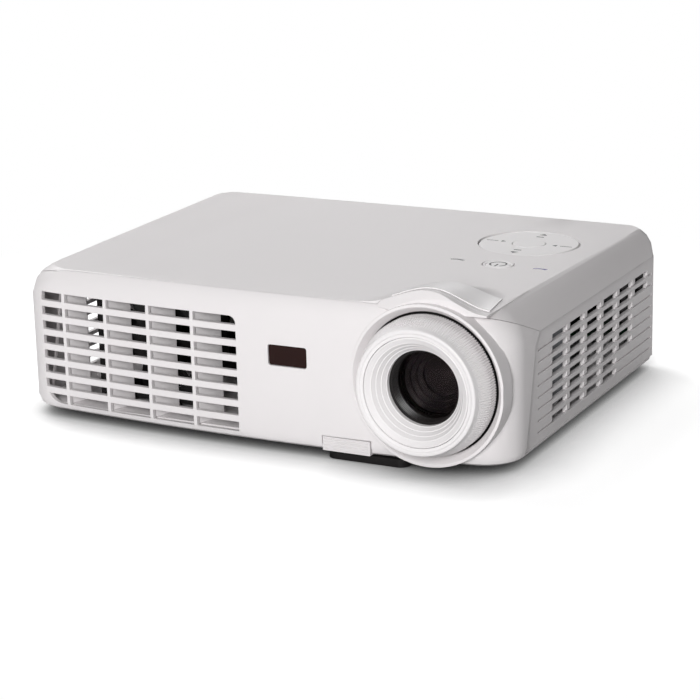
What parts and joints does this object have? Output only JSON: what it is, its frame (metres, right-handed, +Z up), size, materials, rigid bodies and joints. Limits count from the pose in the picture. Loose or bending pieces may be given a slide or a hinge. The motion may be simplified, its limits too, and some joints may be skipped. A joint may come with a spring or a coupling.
{
  "type": "projector",
  "caption": "Compact desk projector: white moulded housing, exhaust grille beside a fluted focus ring, louvred sides, round keypad on top, drop-down front foot and screw feet at the rear.",
  "frame": {"origin": "middle of the whole object's outline seen from above, on the table that the feet stand on", "axes": "+X towards the lens side as seen from behind the lens, +Y towards the rear panel, +Z up; the lens looks along -Y"},
  "size_m": [0.28, 0.2302, 0.0907],
  "materials": {
    "white_moulding": "satin moulded, fine grain",
    "white_gloss": "smooth",
    "bright_strip": "polished",
    "black_plastic": "matt",
    "foot_rubber": "matt",
    "plated_steel": "plated",
    "socket_blue": "matt",
    "coated_glass": "coated, clear",
    "filter_glass": "clear",
    "dark_red_plastic": "polished, dark",
    "cast_metal": "cast",
    "bare_aluminium": "extruded",
    "reflector": "coated",
    "ceramic": "matt",
    "board_green": "lacquered",
    "component_dark": "matt",
    "smoked_light": "smooth",
    "violet_light": "smooth",
    "brass_pins": "plated",
    "yellow_plastic": "matt",
    "green_plastic": "matt"
  },
  "bodies": {
    "housing": {"top_cover": "white_moulding", "bottom_case": "white_moulding", "front_bezel": "white_moulding", "rear_panel": "white_moulding", "left_grille": "white_moulding", "right_grille": "white_moulding", "exhaust_louvre": "white_moulding", "wave_trim": "bright_strip", "ir_window": "dark_red_plastic", "lens_shroud": "black_plastic", "lens_hood": "white_gloss", "lens_barrel": "black_plastic", "front_glass": "coated_glass", "rear_glass": "coated_glass", "optical_engine": "cast_metal", "chip_board": "board_green", "chip_heatsink": "bare_aluminium", "wheel_motor": "plated_steel", "lamp_housing": "black_plastic", "lamp_reflector": "reflector", "lamp_cable_block": "ceramic", "lamp_door": "white_moulding", "fan_frame": "black_plastic", "blower_case": "black_plastic", "main_board": "board_green", "board_parts": "component_dark", "power_board": "board_green", "power_parts": "component_dark", "key_board": "board_green", "speaker": "black_plastic", "lamp_light": "smoked_light", "heat_light": "violet_light", "elevator_guide": "white_moulding", "power_inlet": "black_plastic", "inlet_pins": "brass_pins", "monitor_sockets": "socket_blue", "socket_posts": "plated_steel", "serial_socket": "black_plastic", "digital_socket": "plated_steel", "service_socket": "plated_steel", "video_jacks": "yellow_plastic", "jack_rings": "plated_steel", "audio_jacks": "green_plastic", "case_screws": "plated_steel", "door_screws": "plated_steel"},
    "focus_ring": {"focus_ring": "white_gloss"},
    "direction_pad": {"direction_pad": "white_gloss"},
    "menu_button": {"menu_button": "white_gloss"},
    "power_button": {"power_button": "white_gloss"},
    "release_button": {"release_button": "white_moulding"},
    "elevator_foot": {"elevator_foot": "black_plastic"},
    "left_foot_stem": {"left_foot_stem": "plated_steel"},
    "right_foot_stem": {"right_foot_stem": "plated_steel"},
    "left_foot_disc": {"left_foot_disc": "foot_rubber"},
    "right_foot_disc": {"right_foot_disc": "foot_rubber"},
    "fan_rotor": {"fan_rotor": "black_plastic"},
    "blower_rotor": {"blower_rotor": "black_plastic"},
    "colour_wheel": {"colour_wheel": "filter_glass"}
  },
  "joints": [
    {"name": "focus_turn", "type": "hinge", "parent": "housing", "child": "focus_ring", "pos_m": [0.0985, -0.10355, 0.044], "axis": [0, 1, 0], "range_deg": [-60, 60]},
    {"name": "pad_rock", "type": "hinge", "parent": "housing", "child": "direction_pad", "pos_m": [0.0915, 0.04545, 0.07855], "axis": [1, 0, 0], "range_deg": [-1, 1], "stiffness_Nm_per_rad": 2.5},
    {"name": "menu_press", "type": "slide", "parent": "housing", "child": "menu_button", "axis": [0, 0, -1], "range_m": [0, 0.0006], "stiffness_N_per_m": 2500},
    {"name": "power_press", "type": "slide", "parent": "housing", "child": "power_button", "axis": [0, 0, -1], "range_m": [0, 0.0006], "stiffness_N_per_m": 2500},
    {"name": "release_press", "type": "slide", "parent": "housing", "child": "release_button", "axis": [0, 1, 0], "range_m": [0, 0.003], "stiffness_N_per_m": 1200},
    {"name": "elevator_drop", "type": "slide", "parent": "housing", "child": "elevator_foot", "axis": [0, 0, -1], "range_m": [0, 0.024]},
    {"name": "left_foot_lift", "type": "slide", "parent": "housing", "child": "left_foot_stem", "axis": [0, 0, -1], "range_m": [0, 0.005]},
    {"name": "right_foot_lift", "type": "slide", "parent": "housing", "child": "right_foot_stem", "axis": [0, 0, -1], "range_m": [0, 0.005]},
    {"name": "left_foot_turn", "type": "hinge", "parent": "left_foot_stem", "child": "left_foot_disc", "pos_m": [-0.121, 0.06245, 0.001], "axis": [0, 0, -1], "range_deg": [0, 1810]},
    {"name": "right_foot_turn", "type": "hinge", "parent": "right_foot_stem", "child": "right_foot_disc", "pos_m": [0.121, 0.06245, 0.001], "axis": [0, 0, -1], "range_deg": [0, 1810]},
    {"name": "fan_spin", "type": "hinge", "parent": "housing", "child": "fan_rotor", "pos_m": [-0.072, -0.07255, 0.0415], "axis": [0, 1, 0], "continuous": true},
    {"name": "blower_spin", "type": "hinge", "parent": "housing", "child": "blower_rotor", "pos_m": [-0.093, 0.08345, 0.0149], "axis": [0, 0, 1], "continuous": true},
    {"name": "wheel_spin", "type": "hinge", "parent": "housing", "child": "colour_wheel", "pos_m": [0.022, -0.00175, 0.0473], "axis": [1, 0, 0], "continuous": true}
  ],
  "couplings": [
    {"joint": "left_foot_turn", "follows": "left_foot_lift", "rad_per_m": 6283.2},
    {"joint": "right_foot_turn", "follows": "right_foot_lift", "rad_per_m": 6283.2}
  ]
}
